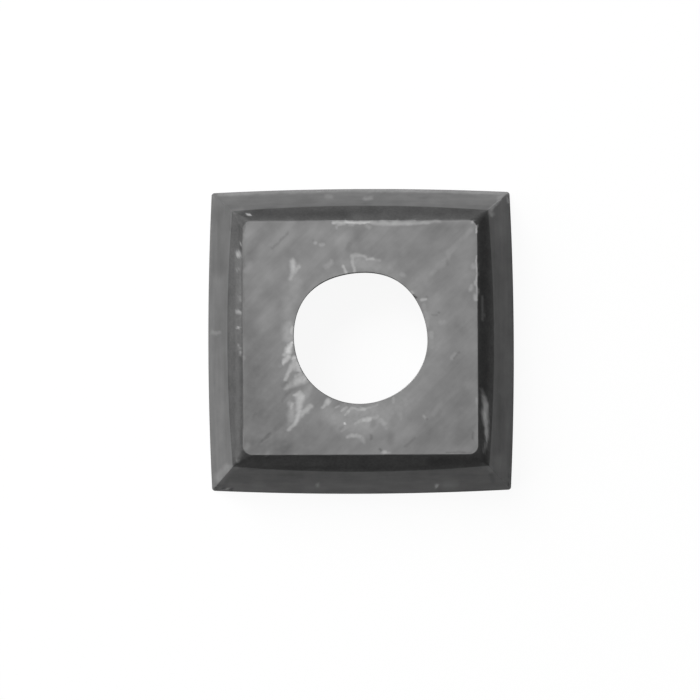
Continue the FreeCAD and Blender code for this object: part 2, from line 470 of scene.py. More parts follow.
def add_marks(tree, colour, worn_and_highlight, stained_and_shade):
    """Lays the insert's rubbed patches and painted highlights over a colour, and its dull spots
    and painted shade over both.
    """
    # the light marks are partly wear and partly painted highlights and glints, and the dark marks
    # partly stains and partly painted shade
    for mark, mark_colour in (("scuff", worn_and_highlight), ("stain", stained_and_shade)):
        share = add_node(tree, "ShaderNodeAttribute", attribute_name=mark).outputs["Fac"]
        colour = add_node(
            tree,
            "ShaderNodeMix",
            {"Factor_Float": share, "A_Color": colour, "B_Color": linear(mark_colour)},
            data_type="RGBA",
        )
    return colour


# The seat is ground flat, corner to corner of the insert, so fine lines and broader wheel
# streaks cross it at 45 degrees. The real lines are about 0.02 mm apart and are drawn
# coarser, as far apart as the photograph still shows them. Satin, in an even dark grey.
seat_finish, tree, shader = new_finish("surface_ground_carbide", roughness=0.55)
place = millimetres(tree, turn=-math.pi / 4)
lines = add_grain(tree, place, (2.0, 0.2, 1.0), weight=0.04, detail=1.0)
streaks = add_grain(tree, place, (3.57, 0.667, 1.0), weight=0.13)
blotches = add_grain(tree, place, (1.25, 1.0, 1.0), weight=0.2, detail=3.0)
ground = add_shades(tree, "#6f6f6f", "#969696", [lines, streaks, blotches])
scored = add_node(
    tree, "ShaderNodeBump", {"Strength": 0.4, "Distance": 0.002 * MM, "Height": lines}
)
marked = add_marks(tree, ground, worn_and_highlight="#d0d0d0", stained_and_shade="#3c3c3c")
fill_inputs(tree, shader, {"Base Color": marked, "Normal": scored})

# The flanks are ground along their edges by a swing of the blank, so their lines run with the
# edge, and each flank has its own. The real lines are finer and are drawn 0.14 mm apart. They take
# light from far to the side. Their colour is painted lighter towards the cutting edge and darker
# up the flank, a painted highlight along the edge.
flank_finish, tree, shader = new_finish("edge_ground_carbide", roughness=0.7)
place = millimetres(tree)
rise = add_node(tree, "ShaderNodeAttribute", attribute_name="rise").outputs["Fac"]
spread = add_node(tree, "ShaderNodeSeparateXYZ", {"Vector": place})
lengthways = add_node(
    tree,
    "ShaderNodeMath",
    {0: spread.outputs["X"], 1: 1.7, 2: spread.outputs["Y"]},
    operation="MULTIPLY_ADD",
)
along_edge = add_node(tree, "ShaderNodeCombineXYZ", {"X": lengthways, "Y": rise})
lines = add_grain(tree, along_edge, (5.56, 0.143, 1.0), weight=0.05)
streaks = add_grain(tree, along_edge, (3.33, 0.417, 1.0), weight=0.16)
blotches = add_grain(tree, place, (1.11, 1.11, 1.11), weight=0.2, detail=3.0)
# painted highlight: the flank's colour is lighter towards the cutting edge and darker up the flank
painted_edge_highlight = add_node(
    tree,
    "ShaderNodeMapRange",
    {"Value": rise, "From Min": 0.0, "From Max": 2.2, "To Min": 0.75, "To Max": 0.38},
)
ground = add_shades(tree, "#626262", "#7a7a7a", [lines, streaks, blotches], middle=painted_edge_highlight)
scored = add_node(
    tree, "ShaderNodeBump", {"Strength": 0.4, "Distance": 0.002 * MM, "Height": lines}
)
marked = add_marks(tree, ground, worn_and_highlight="#e0e0e0", stained_and_shade="#303030")
fill_inputs(tree, shader, {"Base Color": marked, "Normal": scored})

# The shoulders and the hole keep the skin that sintering left: darker, with a fine grain
# and no direction, so it only takes a soft sheen. The real grain is about a thousandth of a
# millimetre, too fine to show, and is drawn at a tenth.
sintered_finish, tree, shader = new_finish("as_sintered_carbide", roughness=0.7)
place = millimetres(tree)
grain = add_grain(tree, place, (0.1111, 0.1111, 0.1111), weight=0.2, detail=3.0)
blotches = add_grain(tree, place, (0.909, 0.909, 0.909), weight=0.22)
skin = add_shades(tree, "#484848", "#5e5e5e", [grain, blotches])
pitted = add_node(
    tree, "ShaderNodeBump", {"Strength": 0.5, "Distance": 0.003 * MM, "Height": grain}
)
# on the shoulders the light marks are painted glints and painted light, and the dark marks are
# painted shade
marked = add_marks(tree, skin, worn_and_highlight="#e6e6e6", stained_and_shade="#202020")
fill_inputs(tree, shader, {"Base Color": marked, "Normal": pitted})

# The edge round the seat was broken by tumbling or brushing. Its colour is a painted highlight, a
# little lighter than the faces beside it, so that it shows as a thin soft line.
break_finish, tree, shader = new_finish("brushed_edge_carbide", roughness=0.65)
wear = add_grain(tree, millimetres(tree), (0.769, 0.769, 0.769), weight=0.35)
# painted highlight: the broken edge is coloured lighter so that it shows as a thin line
edge_tone_and_painted_highlight = add_shades(tree, "#505050", "#767676", [wear])
marked = add_marks(tree, edge_tone_and_painted_highlight, worn_and_highlight="#e6e6e6", stained_and_shade="#3c3c3c")
fill_inputs(tree, shader, {"Base Color": marked})

# The rake face, over which the chips run, is ground finer than the seat, in straight lines
# along one pair of edges. They are drawn 0.07 mm apart, and the face reflects more sharply.
rake_finish, tree, shader = new_finish("fine_ground_carbide", roughness=0.36)
place = millimetres(tree)
lines = add_grain(tree, place, (33.3, 0.0714, 1.0), weight=0.15, detail=1.0)
blotches = add_grain(tree, place, (5.0, 1.25, 1.25), weight=0.2, detail=3.0)
lapped = add_shades(tree, "#868686", "#a0a0a0", [lines, blotches])
scored = add_node(
    tree, "ShaderNodeBump", {"Strength": 0.15, "Distance": 0.001 * MM, "Height": lines}
)
fill_inputs(tree, shader, {"Base Color": lapped, "Normal": scored})

# The bands follow one another round the insert's section, from a cutting edge over the
# seat and down the hole to the rake face. Each has its finish, its rows and its swell. All
# have as many columns to a side, of which the corners take a share.
COLUMNS = 200
CORNER_SHARE = 0.14
SHOULDER_SWELL = 0.04
bands = [
    ("cutting_edge", "tip_end", flank_finish, 3, 0.0),
    ("tip_end", "shoulder_line", flank_finish, 18, 0.0),
    ("shoulder_line", "seat_break", sintered_finish, 9, SHOULDER_SWELL),
    ("seat_break", "seat_edge", break_finish, 2, 0.0),
    ("seat_edge", "bore_mouth", seat_finish, 66, 0.0),
    ("bore_mouth", "bore_top", seat_finish, 2, 0.0),
    ("bore_top", "bore_foot", sintered_finish, 4, 0.0),
    ("bore_foot", "countersink_rim", sintered_finish, 5, 0.0),
    ("countersink_rim", "cutting_edge", rake_finish, 5, 0.0),
]
insert = bpy.data.objects.new("insert_body", bpy.data.meshes.new("insert_body"))
bpy.context.scene.collection.objects.link(insert)
for start, end, finish, rows, belly in bands:
    sizes = {f"start_{name}": value for name, value in sections[start].items()}
    sizes.update({f"end_{name}": value for name, value in sections[end].items()})
    add_modifier(
        insert,
        band_tree,
        straight_share=1 - CORNER_SHARE,
        columns=COLUMNS,
        rows=rows,
        sides=SIDES,
        finish=finish,
        start_rise=tip_slant if start == "tip_end" else 0.0,
        belly=belly,
        **sizes,
    )

# The bands are welded along their shared lines and swell as each was told. The edges
# between them stay sharp.
weld_tree = bpy.data.node_groups.new("insert_weld", "GeometryNodeTree")
add_sockets(weld_tree, "INPUT", "NodeSocketGeometry", ("Geometry",))
add_sockets(weld_tree, "INPUT", "NodeSocketFloat", ("Weld Distance", "Sharp Angle"))
add_sockets(weld_tree, "OUTPUT", "NodeSocketGeometry", ("Geometry",))
given = weld_tree.nodes.new("NodeGroupInput").outputs
welded = add_node(
    weld_tree,
    "GeometryNodeMergeByDistance",
    {"Geometry": given["Geometry"], "Distance": given["Weld Distance"]},
)
swell = add_node(
    weld_tree,
    "ShaderNodeVectorMath",
    {
        "Vector": add_node(weld_tree, "GeometryNodeInputNormal").outputs["Normal"],
        "Scale": add_node(
            weld_tree,
            "GeometryNodeInputNamedAttribute",
            {"Name": "swell"},
            data_type="FLOAT",
        ).outputs["Attribute"],
    },
    operation="SCALE",
)
swollen = add_node(
    weld_tree, "GeometryNodeSetPosition", {"Geometry": welded, "Offset": swell}
)
smooth = add_node(
    weld_tree, "GeometryNodeSetShadeSmooth", {"Geometry": swollen}, domain="FACE"
)
fold = add_node(
    weld_tree,
    "ShaderNodeMath",
    {
        0: add_node(weld_tree, "GeometryNodeInputMeshEdgeAngle").outputs["Unsigned Angle"],
        1: given["Sharp Angle"],
    },
    operation="GREATER_THAN",
)
creased = add_node(
    weld_tree,
    "GeometryNodeSetShadeSmooth",
    {"Geometry": smooth, "Selection": fold, "Shade Smooth": False},
    domain="EDGE",
)
add_node(weld_tree, "NodeGroupOutput", {0: creased})
add_modifier(insert, weld_tree, weld_distance=1e-4, sharp_angle=math.radians(12))


# Pressing and sintering left the hole slightly out of round. Each lobe tree moves the
# hole's wall in and out by a wave round the axis, which fades out over the seat.
lobe_tree = bpy.data.node_groups.new("insert_hole_lobes", "GeometryNodeTree")
add_sockets(lobe_tree, "INPUT", "NodeSocketGeometry", ("Geometry",))
add_sockets(
    lobe_tree, "INPUT", "NodeSocketFloat", ("Lobes", "Height", "Turn", "Hole Radius", "Fade")
)
add_sockets(lobe_tree, "OUTPUT", "NodeSocketGeometry", ("Geometry",))
given = lobe_tree.nodes.new("NodeGroupInput").outputs
place = add_node(
    lobe_tree,
    "ShaderNodeSeparateXYZ",
    {"Vector": add_node(lobe_tree, "GeometryNodeInputPosition")},
)
bearing = add_node(
    lobe_tree,
    "ShaderNodeMath",
    {0: place.outputs["Y"], 1: place.outputs["X"]},
    operation="ARCTAN2",
)
from_lobe = add_node(
    lobe_tree, "ShaderNodeMath", {0: bearing, 1: given["Turn"]}, operation="SUBTRACT"
)
phase = add_node(
    lobe_tree, "ShaderNodeMath", {0: from_lobe, 1: given["Lobes"]}, operation="MULTIPLY"
)
wave = add_node(lobe_tree, "ShaderNodeMath", {0: phase}, operation="COSINE")
outwards = add_node(
    lobe_tree,
    "ShaderNodeCombineXYZ",
    {"X": place.outputs["X"], "Y": place.outputs["Y"]},
)
radius = add_node(lobe_tree, "ShaderNodeVectorMath", {0: outwards}, operation="LENGTH")
faded_at = add_node(
    lobe_tree, "ShaderNodeMath", {0: given["Hole Radius"], 1: given["Fade"]}, operation="ADD"
)
near_hole = add_node(
    lobe_tree,
    "ShaderNodeMapRange",
    {
        "Value": radius.outputs["Value"],
        "From Min": given["Hole Radius"],
        "From Max": faded_at,
        "To Min": given["Height"],
        "To Max": 0.0,
    },
    interpolation_type="SMOOTHSTEP",
)
push = add_node(lobe_tree, "ShaderNodeMath", {0: wave, 1: near_hole}, operation="MULTIPLY")
unit = add_node(lobe_tree, "ShaderNodeVectorMath", {0: outwards}, operation="NORMALIZE")
offset = add_node(
    lobe_tree, "ShaderNodeVectorMath", {"Vector": unit, "Scale": push}, operation="SCALE"
)
moved = add_node(
    lobe_tree, "GeometryNodeSetPosition", {"Geometry": given["Geometry"], "Offset": offset}
)
add_node(lobe_tree, "NodeGroupOutput", {0: moved})
LOBE_FADE = 0.9
for lobes, height, turn_degrees in (
    (2.0, 0.024, -5.0),
    (3.0, 0.014, 32.0),
    (4.0, 0.034, -34.0),
    (5.0, 0.015, -11.0),
):
    add_modifier(
        insert,
        lobe_tree,
        lobes=lobes,
        height=height,
        turn=math.radians(turn_degrees),
        hole_radius=bore_radius + bore_edge_break,
        fade=LOBE_FADE,
    )

# The photograph's insert is used. Its seat has pale rubbed patches round the hole and a few nicks.
# Painted highlights run along the seat's upper and right edges, and painted glints lie on its
# shoulders. Painted light and shade make the left shoulder lighter and the other shoulders and the
# right flank darker. Each mark is a stroke with a ragged outline that fades to its sides and sinks
# in a little.
# This tree gives each point the place that marks are measured from, and how well it holds
# a mark.
ragged_tree = bpy.data.node_groups.new("insert_ragged_plan", "GeometryNodeTree")
add_sockets(ragged_tree, "INPUT", "NodeSocketGeometry", ("Geometry",))
add_sockets(
    ragged_tree, "INPUT", "NodeSocketFloat", ("Raggedness", "Ripples", "Patches", "Faintest")
)
add_sockets(ragged_tree, "OUTPUT", "NodeSocketGeometry", ("Geometry",))
given = ragged_tree.nodes.new("NodeGroupInput").outputs
here = add_node(ragged_tree, "GeometryNodeInputPosition")
ripple = add_node(
    ragged_tree,
    "ShaderNodeTexNoise",
    {"Vector": here, "Scale": given["Ripples"], "Detail": 3.0, "Roughness": 0.6},
)
ripple_about_zero = add_node(
    ragged_tree,
    "ShaderNodeVectorMath",
    {0: ripple.outputs["Color"], 1: (0.5, 0.5, 0.5)},
    operation="SUBTRACT",
)
ragged = add_node(
    ragged_tree,
    "ShaderNodeVectorMath",
    {"Vector": ripple_about_zero, "Scale": given["Raggedness"]},
    operation="SCALE",
)
shifted = add_node(ragged_tree, "ShaderNodeVectorMath", {0: here, 1: ragged}, operation="ADD")
in_plan = add_node(
    ragged_tree,
    "ShaderNodeVectorMath",
    {0: shifted, 1: (1.0, 1.0, 0.0)},
    operation="MULTIPLY",
)
placed = add_node(
    ragged_tree,
    "GeometryNodeStoreNamedAttribute",
    {"Geometry": given["Geometry"], "Name": "mark_place", "Value": in_plan},
    data_type="FLOAT_VECTOR",
    domain="POINT",
)
patches = add_node(
    ragged_tree,
    "ShaderNodeTexNoise",
    {"Vector": here, "Scale": given["Patches"], "Detail": 2.0},
)
hold = add_node(
    ragged_tree,
    "ShaderNodeMapRange",
    {
        "Value": patches.outputs["Fac"],
        "From Min": 0.35,
        "From Max": 0.6,
        "To Min": given["Faintest"],
        "To Max": 1.0,
    },
)
patched = add_node(
    ragged_tree,
    "GeometryNodeStoreNamedAttribute",
    {"Geometry": placed, "Name": "mark_hold", "Value": hold},
    data_type="FLOAT",
    domain="POINT",
)
add_node(ragged_tree, "NodeGroupOutput", {0: patched})
add_modifier(insert, ragged_tree, raggedness=0.26, ripples=2.2, patches=4.0, faintest=0.75)

# One stroke. It is full strength to a fifth of its half width and gone at nearly twice that
# width, and only faces that look up are marked: the seat, the shoulders and the flanks.
# Where strokes of a kind cross, the stronger one holds.
mark_tree = bpy.data.node_groups.new("insert_mark", "GeometryNodeTree")
add_sockets(mark_tree, "INPUT", "NodeSocketGeometry", ("Geometry",))
add_sockets(mark_tree, "INPUT", "NodeSocketString", ("Kind",))
add_sockets(mark_tree, "INPUT", "NodeSocketVector", ("Start", "End"))
add_sockets(
    mark_tree,
    "INPUT",
    "NodeSocketFloat",
    ("Start Width", "End Width", "Strength", "Depth"),
)
add_sockets(mark_tree, "OUTPUT", "NodeSocketGeometry", ("Geometry",))
given = mark_tree.nodes.new("NodeGroupInput").outputs
in_plan = add_node(
    mark_tree,
    "GeometryNodeInputNamedAttribute",
    {"Name": "mark_place"},
    data_type="FLOAT_VECTOR",
).outputs["Attribute"]
stroke = add_node(
    mark_tree, "ShaderNodeVectorMath", {0: given["End"], 1: given["Start"]}, operation="SUBTRACT"
)
from_start = add_node(
    mark_tree, "ShaderNodeVectorMath", {0: in_plan, 1: given["Start"]}, operation="SUBTRACT"
)
along_stroke = add_node(
    mark_tree, "ShaderNodeVectorMath", {0: from_start, 1: stroke}, operation="DOT_PRODUCT"
)
stroke_squared = add_node(
    mark_tree, "ShaderNodeVectorMath", {0: stroke, 1: stroke}, operation="DOT_PRODUCT"
)
run = add_node(
    mark_tree,
    "ShaderNodeMath",
    {0: along_stroke.outputs["Value"], 1: stroke_squared.outputs["Value"]},
    operation="DIVIDE",
    use_clamp=True,
)
on_stroke = add_node(
    mark_tree, "ShaderNodeVectorMath", {"Vector": stroke, "Scale": run}, operation="SCALE"
)
off_stroke = add_node(
    mark_tree,
    "ShaderNodeVectorMath",
    {0: from_start, 1: on_stroke.outputs["Vector"]},
    operation="DISTANCE",
)
width_here = add_node(
    mark_tree,
    "ShaderNodeMix",
    {"Factor_Float": run, "A_Float": given["Start Width"], "B_Float": given["End Width"]},
)
across_stroke = add_node(
    mark_tree,
    "ShaderNodeMath",
    {0: off_stroke.outputs["Value"], 1: width_here},
    operation="DIVIDE",
)
fading = add_node(
    mark_tree,
    "ShaderNodeMapRange",
    {
        "Value": across_stroke,
        "From Min": 0.2,
        "From Max": 1.9,
        "To Min": given["Strength"],
        "To Max": 0.0,
    },
    interpolation_type="SMOOTHSTEP",
)
normal = add_node(mark_tree, "GeometryNodeInputNormal").outputs["Normal"]
facing_up = add_node(
    mark_tree,
    "ShaderNodeMapRange",
    {
        "Value": add_node(mark_tree, "ShaderNodeSeparateXYZ", {"Vector": normal}).outputs["Z"],
        "From Min": 0.1,
        "From Max": 0.3,
    },
)
hold = add_node(
    mark_tree,
    "GeometryNodeInputNamedAttribute",
    {"Name": "mark_hold"},
    data_type="FLOAT",
).outputs["Attribute"]
patchy = add_node(mark_tree, "ShaderNodeMath", {0: fading, 1: hold}, operation="MULTIPLY")
mark = add_node(mark_tree, "ShaderNodeMath", {0: patchy, 1: facing_up}, operation="MULTIPLY")
so_far = add_node(
    mark_tree,
    "GeometryNodeInputNamedAttribute",
    {"Name": given["Kind"]},
    data_type="FLOAT",
).outputs["Attribute"]
stronger = add_node(mark_tree, "ShaderNodeMath", {0: so_far, 1: mark}, operation="MAXIMUM")
sinking = add_node(
    mark_tree, "ShaderNodeMath", {0: mark, 1: given["Depth"]}, operation="MULTIPLY"
)
inwards = add_node(
    mark_tree, "ShaderNodeMath", {0: sinking, 1: -1.0}, operation="MULTIPLY"
)
chip = add_node(
    mark_tree, "ShaderNodeVectorMath", {"Vector": normal, "Scale": inwards}, operation="SCALE"
)
marked = add_node(
    mark_tree,
    "GeometryNodeStoreNamedAttribute",
    {"Geometry": given["Geometry"], "Name": given["Kind"], "Value": stronger},
    data_type="FLOAT",
    domain="POINT",
)
chipped = add_node(
    mark_tree, "GeometryNodeSetPosition", {"Geometry": marked, "Offset": chip}
)
add_node(mark_tree, "NodeGroupOutput", {0: chipped})

# The lighter strokes are spots rubbed or chipped down to bright metal, together with painted
# highlights and glints. The darker strokes are dull spots and old scratches, together with painted
# shade. Each group says which it holds. A stroke is its strength and its points: x, y and half
# width in millimetres.
MARK_DEPTH = 0.003
lighter_strokes = [
    # forked patch upper left of the hole
    (0.60, (-3.27, 3.69, 0.13), (-3.29, 3.51, 0.11)),
    (0.43, (-3.29, 3.51, 0.12), (-3.31, 3.16, 0.09)),
    (0.30, (-3.31, 3.16, 0.1), (-3.4, 2.92, 0.11)),
    (0.31, (-2.94, 3.49, 0.07), (-3.13, 3.41, 0.08), (-3.23, 3.2, 0.08)),
    # pale area beside the hole
    (0.09, (3.01, 2.41, 0.49), (3.59, 0.57, 0.54), (3.47, -1.8, 0.64), (2.4, -3.13, 0.64)),
    (0.12, (1.44, 3.39, 0.29), (1.75, 2.97, 0.29)),
    (0.20, (2.12, -3.16, 0.49), (1.42, -3.73, 0.54), (0.26, -4.05, 0.59)),
    (0.22, (0.25, -4.02, 0.54), (-0.73, -4.06, 0.49), (-1.47, -3.74, 0.39)),
    (0.11, (-0.76, 4.77, 0.39), (-0.68, 3.8, 0.39)),
    (0.11, (-2.14, 2.58, 0.34), (-1.5, 3.12, 0.34)),
    (0.07, (2.51, 4.97, 0.44), (2.9, 4.95, 0.44)),
    (0.09, (5.0, 4.47, 0.44), (5.02, 2.79, 0.39)),
    (0.14, (-3.06, 2.74, 0.24), (-3.29, 2.0, 0.29)),
    (0.14, (-3.53, 1.86, 0.24), (-3.52, 0.77, 0.27)),
    (0.29, (-3.5, 0.61, 0.25), (-3.48, 0.03, 0.25)),
    (0.56, (-3.33, 0.53, 0.09), (-3.37, 0.23, 0.08)),
    # scuffs left of the hole
    (0.87, (-3.32, -0.19, 0.06), (-3.47, -0.42, 0.11), (-3.54, -0.64, 0.15)),
    (0.43, (-3.54, -0.64, 0.15), (-3.71, -0.83, 0.09)),
    (0.58, (-3.51, -0.92, 0.1), (-3.69, -1.09, 0.11), (-3.77, -1.24, 0.07)),
    (0.10, (-3.79, -1.24, 0.07), (-3.93, -1.38, 0.06)),
    (0.71, (-3.29, -0.97, 0.07), (-3.18, -0.98, 0.07)),
    (0.46, (-3.21, -1.11, 0.11), (-3.21, -1.38, 0.17)),
    (0.48, (-3.33, -1.39, 0.12), (-3.51, -1.67, 0.09), (-3.65, -2.03, 0.07)),
    (0.54, (-3.11, -1.21, 0.11), (-3.03, -1.5, 0.1), (-2.94, -1.63, 0.06)),
    (0.52, (-2.8, -2.02, 0.22), (-3.11, -2.11, 0.19)),
    (0.29, (-3.11, -2.11, 0.18), (-3.52, -2.35, 0.11), (-3.64, -2.45, 0.09)),
    (0.75, (-2.74, -2.03, 0.05), (-2.73, -2.04, 0.05)),
    (0.38, (-2.9, -1.75, 0.1), (-3.15, -1.87, 0.1)),
    (0.21, (-2.48, -2.4, 0.13), (-2.66, -2.73, 0.17)),
    (0.57, (-2.94, -2.68, 0.09), (-2.92, -2.85, 0.18), (-2.99, -3.17, 0.17)),
    (0.55, (-3.2, -2.78, 0.06), (-3.07, -2.77, 0.12)),
    (0.49, (-2.99, -3.17, 0.16), (-2.99, -3.56, 0.14)),
    (0.67, (-2.95, -3.58, 0.11), (-3.13, -3.88, 0.12), (-3.23, -4.21, 0.1)),
    (0.54, (-3.23, -4.21, 0.1), (-3.53, -4.48, 0.07)),
    (0.34, (-3.46, -3.19, 0.11), (-3.36, -3.44, 0.14), (-3.36, -4.01, 0.17)),
    (0.55, (-3.36, -3.22, 0.08), (-3.37, -3.44, 0.08)),
    (0.41, (-2.44, -3.33, 0.09), (-2.66, -3.56, 0.12), (-2.88, -3.74, 0.11)),
    (0.19, (-3.45, -4.22, 0.12), (-3.52, -4.4, 0.1)),
    (0.52, (-1.57, -3.08, 0.11), (-1.65, -3.19, 0.1)),
    (0.41, (-1.65, -3.19, 0.09), (-1.86, -3.4, 0.08)),
    # under the hole
    (0.49, (-0.5, -3.46, 0.07), (-0.14, -3.49, 0.08), (-0.04, -3.47, 0.09)),
    (0.57, (0.01, -3.48, 0.08), (0.18, -3.5, 0.08)),
    (0.46, (0.17, -3.49, 0.09), (0.44, -3.43, 0.08)),
    (0.33, (0.44, -3.43, 0.09), (0.77, -3.28, 0.08)),
    (0.41, (-0.94, -3.6, 0.07), (-0.8, -3.48, 0.07), (-0.67, -3.43, 0.06)),
    (0.43, (-0.74, -3.78, 0.06), (-0.65, -3.62, 0.07)),
    (0.52, (-0.62, -3.58, 0.08), (-0.57, -3.55, 0.08)),
    (0.34, (-1.23, -3.42, 0.07), (-1.07, -3.34, 0.07)),
    (1.00, (-0.77, -4.18, 0.05), (-0.76, -4.19, 0.05)),
    (0.56, (0.12, -4.03, 0.09), (0.28, -3.97, 0.12), (0.48, -3.94, 0.11)),
    (0.41, (0.07, -4.05, 0.1), (-0.13, -4.11, 0.1), (-0.28, -4.17, 0.08)),
    (0.38, (0.64, -3.92, 0.11), (0.81, -3.88, 0.13)),
    (0.33, (0.96, -4.06, 0.15), (1.14, -4.16, 0.17)),
    (0.17, (1.15, -4.25, 0.15), (1.2, -4.41, 0.12)),
    (0.25, (-0.63, -3.64, 0.39), (0.55, -3.65, 0.44)),
    (0.18, (0.81, -3.44, 0.34), (1.29, -3.61, 0.39)),
    (0.35, (-0.64, -4.84, 0.07), (-0.44, -4.75, 0.1), (-0.24, -4.75, 0.1)),
    (0.30, (-0.24, -4.77, 0.09), (-0.05, -4.84, 0.1)),
    (0.17, (0.04, -4.9, 0.12), (0.14, -5.04, 0.09)),
    (0.25, (-0.9, -4.54, 0.07), (-0.75, -4.42, 0.11), (-0.66, -4.3, 0.1)),
    (0.30, (1.59, -3.03, 0.12), (1.58, -3.14, 0.1)),
    (0.20, (2.03, -3.27, 0.15), (2.11, -3.38, 0.15)),
    (0.18, (1.94, -3.63, 0.12), (1.93, -3.92, 0.12)),
    # nicks in the seat's lower edge
    (0.39, (1.11, -5.61, 0.08), (1.22, -5.62, 0.06)),
    (0.06, (1.11, -5.5, 0.06), (1.18, -5.57, 0.06)),
    (0.19, (1.22, -5.62, 0.06), (1.41, -5.63, 0.05)),
    (0.15, (-4.51, -5.55, 0.1), (-4.57, -5.65, 0.1)),
    # crescent over the hole
    (0.34, (-0.39, 3.99, 0.1), (-0.37, 3.76, 0.09)),
    (0.39, (-0.37, 3.76, 0.09), (-0.3, 3.41, 0.07), (-0.28, 3.25, 0.06)),
    (0.32, (-0.4, 3.99, 0.1), (-0.2, 4.02, 0.11), (0.05, 3.98, 0.09)),
    (0.34, (0.05, 3.99, 0.07), (0.27, 3.91, 0.07)),
    (0.41, (0.33, 3.83, 0.06), (0.5, 3.81, 0.07), (0.64, 3.81, 0.07)),
    (0.22, (0.65, 3.79, 0.07), (0.97, 3.75, 0.06)),
    (0.20, (-0.13, 3.68, 0.24), (0.28, 3.56, 0.29), (0.75, 3.49, 0.27)),
    (0.10, (1.03, 3.5, 0.24), (1.47, 3.13, 0.24)),
    (0.50, (-0.83, 3.51, 0.07), (-0.71, 3.16, 0.07)),
    (0.20, (-1.37, 3.74, 0.08), (-1.37, 3.64, 0.1), (-1.65, 3.48, 0.13)),
    (0.26, (-2.2, 4.64, 0.08), (-2.19, 4.63, 0.08)),
    (0.22, (-1.94, 4.54, 0.08), (-1.75, 4.53, 0.08)),
    (0.19, (2.03, 3.07, 0.11), (2.12, 3.03, 0.1)),
    # painted highlight along the seat's upper edge, with pale spots just below it
    (0.52, (-1.29, 5.63, 0.06), (-0.72, 5.63, 0.06)),
    (0.72, (-0.72, 5.63, 0.06), (0.43, 5.62, 0.06)),
    (0.38, (0.43, 5.62, 0.05), (0.59, 5.63, 0.05)),
    (0.53, (-1.29, 5.59, 0.05), (-1.2, 5.57, 0.05)),
    (0.36, (-1.06, 5.55, 0.1), (-0.76, 5.57, 0.08)),
    (0.22, (-0.48, 5.52, 0.1), (-0.38, 5.52, 0.08)),
    (0.26, (-1.16, 5.4, 0.08), (-1.14, 5.38, 0.08)),
    (0.21, (0.33, 5.44, 0.11), (0.44, 5.36, 0.07)),
    (0.31, (0.52, 5.59, 0.07), (1.2, 5.58, 0.08), (1.63, 5.56, 0.09)),
    (0.41, (1.63, 5.56, 0.09), (1.94, 5.56, 0.09), (2.48, 5.58, 0.09)),
    (0.33, (2.48, 5.58, 0.09), (2.96, 5.59, 0.09), (3.39, 5.61, 0.07)),
    (0.18, (3.39, 5.62, 0.08), (3.88, 5.65, 0.06)),
    (0.04, (3.88, 5.66, 0.06), (5.37, 5.63, 0.06)),
    (0.48, (5.47, 5.63, 0.04), (5.49, 5.62, 0.04)),
    # right of the hole
    (0.43, (2.98, 1.82, 0.08), (3.16, 1.84, 0.08)),
    (0.30, (2.51, 2.22, 0.07), (2.64, 2.01, 0.05)),
    (0.19, (3.11, 1.57, 0.13), (3.25, 0.59, 0.12)),
    (0.09, (3.65, 1.97, 0.29), (3.73, 1.51, 0.29)),
    (0.24, (3.43, 0.21, 0.13), (3.48, -0.04, 0.11)),
    (0.15, (3.46, -0.14, 0.15), (3.46, -0.45, 0.15)),
    (0.15, (3.92, 0.7, 0.14), (4.03, 0.72, 0.14)),
    (0.16, (4.41, -1.03, 0.09), (4.55, -0.8, 0.08)),
    (0.20, (3.07, -3.88, 0.06), (3.13, -3.95, 0.06)),
    (0.09, (4.21, 3.8, 0.12), (3.77, 3.46, 0.13)),
    (0.11, (3.63, 3.29, 0.08), (3.43, 3.06, 0.12)),
    (0.11, (4.32, 4.22, 0.11), (4.31, 3.85, 0.1)),
    (0.12, (5.37, 5.18, 0.13), (4.86, 4.67, 0.14), (4.43, 4.19, 0.13)),
    (0.08, (5.26, 4.76, 0.24), (4.85, 4.28, 0.24)),
    # painted highlight along the seat's right rim and in spots beside it
    (0.22, (5.5, 3.47, 0.12), (5.62, 3.49, 0.11)),
    (0.32, (5.63, 2.7, 0.08), (5.63, 2.61, 0.08)),
    (0.24, (5.43, 2.54, 0.09), (5.39, 2.32, 0.11)),
    (0.35, (5.6, 2.05, 0.08), (5.62, 1.83, 0.08)),
    (0.60, (5.7, 5.45, 0.04), (5.68, 5.12, 0.04)),
    (0.42, (5.66, 3.98, 0.04), (5.68, 1.82, 0.04)),
    (0.19, (5.65, -2.97, 0.04), (5.65, -3.28, 0.04)),
    (0.04, (5.65, -3.28, 0.04), (5.65, -4.46, 0.04)),
    (0.04, (5.62, -4.64, 0.07), (5.65, -5.05, 0.07)),
    # paler wheel streaks
    (0.06, (-3.33, 5.67, 0.2), (-3.85, 5.12, 0.15), (-4.31, 4.62, 0.15)),
    (0.04, (-3.35, 4.91, 0.15), (-4.03, 4.31, 0.15)),
    (0.07, (-2.24, 5.19, 0.44), (-1.17, 5.17, 0.49)),
    (0.11, (-5.4, 3.61, 0.15), (-5.54, 3.3, 0.15)),
    (0.04, (-4.15, -3.67, 0.08), (-4.46, -3.97, 0.07)),
    (0.22, (-5.5, -5.2, 0.12), (-5.58, -5.36, 0.11)),
    (0.02, (2.5, -4.25, 0.12), (2.2, -4.59, 0.15), (1.95, -4.97, 0.11)),
    (0.07, (3.83, -3.31, 0.13), (3.56, -3.73, 0.12)),
    # painted light on the hole's edge, upper left, which faces away from the key light
    (0.08, (-0.61, 3.21, 0.06), (-1.64, 2.86, 0.06), (-2.51, 2.12, 0.06)),
    (0.08, (-2.51, 2.12, 0.06), (-3.09, 1.13, 0.06), (-3.34, 0.03, 0.06)),
    # left shoulder: painted glints, and painted light over the whole shoulder
    (0.06, (-5.85, 4.21, 0.1), (-5.85, -0.69, 0.1)),
    (0.32, (-5.97, 4.22, 0.08), (-5.92, 4.05, 0.08)),
    (0.15, (-6.01, 3.27, 0.04), (-5.88, 3.39, 0.04)),
